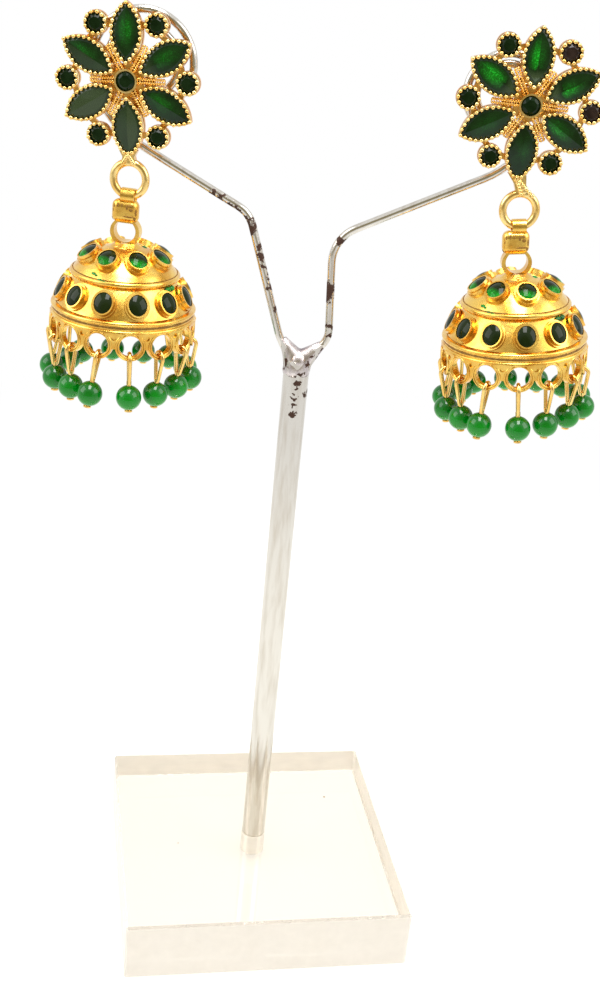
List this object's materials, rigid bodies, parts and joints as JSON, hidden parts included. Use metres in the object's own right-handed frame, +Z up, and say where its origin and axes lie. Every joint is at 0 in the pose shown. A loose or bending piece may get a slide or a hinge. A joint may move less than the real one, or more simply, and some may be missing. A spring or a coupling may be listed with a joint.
{
  "type": "pair of jhumka earrings on an earring stand",
  "caption": "Pair of gold-tone jhumka earrings with green stone flower studs and hollow bells fringed with green beads, hung on a forked wire stand with a clear square base.",
  "frame": {"origin": "centre of the clear base's underside, on the rod's axis", "axes": "+Z up the rod, -Y the side the flowers face, +X to the right of a viewer who faces them"},
  "size_m": [0.0961, 0.0636, 0.1714],
  "materials": {
    "clear_acrylic": "polished clear",
    "plated_steel_wire": "bright plate, worn and spotted with rust",
    "gold_plated_brass": "bright yellow gold-tone plate over a cast surface",
    "green_glass_stone": "foil-backed, polished",
    "green_glass_bead": "polished"
  },
  "bodies": {
    "stand_and_studs": {"stand_base": "clear_acrylic", "stand_rod_and_arms": "plated_steel_wire", "left_stud_frame": "gold_plated_brass", "left_push_back_nut": "gold_plated_brass", "left_centre_stone": "green_glass_stone", "left_petal_stone_1": "green_glass_stone", "left_petal_stone_2": "green_glass_stone", "left_petal_stone_3": "green_glass_stone", "left_petal_stone_4": "green_glass_stone", "left_petal_stone_5": "green_glass_stone", "left_petal_stone_6": "green_glass_stone", "left_small_stone_1": "green_glass_stone", "left_small_stone_2": "green_glass_stone", "left_small_stone_3": "green_glass_stone", "left_small_stone_4": "green_glass_stone", "left_small_stone_5": "green_glass_stone", "left_small_stone_6": "green_glass_stone", "right_stud_frame": "gold_plated_brass", "right_push_back_nut": "gold_plated_brass", "right_centre_stone": "green_glass_stone", "right_petal_stone_1": "green_glass_stone", "right_petal_stone_2": "green_glass_stone", "right_petal_stone_3": "green_glass_stone", "right_petal_stone_4": "green_glass_stone", "right_petal_stone_5": "green_glass_stone", "right_petal_stone_6": "green_glass_stone", "right_small_stone_1": "green_glass_stone", "right_small_stone_2": "green_glass_stone", "right_small_stone_3": "green_glass_stone", "right_small_stone_4": "green_glass_stone", "right_small_stone_5": "green_glass_stone", "right_small_stone_6": "green_glass_stone"},
    "left_drop": {"left_bell": "gold_plated_brass", "left_upper_dome_stones": "green_glass_stone", "left_lower_dome_stones": "green_glass_stone", "left_drop_wires": "gold_plated_brass", "left_drop_beads": "green_glass_bead"},
    "right_drop": {"right_bell": "gold_plated_brass", "right_upper_dome_stones": "green_glass_stone", "right_lower_dome_stones": "green_glass_stone", "right_drop_wires": "gold_plated_brass", "right_drop_beads": "green_glass_bead"}
  },
  "joints": [
    {"name": "left_bell_swing", "type": "hinge", "parent": "stand_and_studs", "child": "left_drop", "pos_m": [-0.03004, -0.0026, 0.13885], "axis": [0.9925, -0.1219, -0.0087], "range_deg": [-80, 80]},
    {"name": "right_bell_swing", "type": "hinge", "parent": "stand_and_studs", "child": "right_drop", "pos_m": [0.03415, -0.00244, 0.14004], "axis": [0.9924, 0.0451, 0.1149], "range_deg": [-80, 80]}
  ]
}
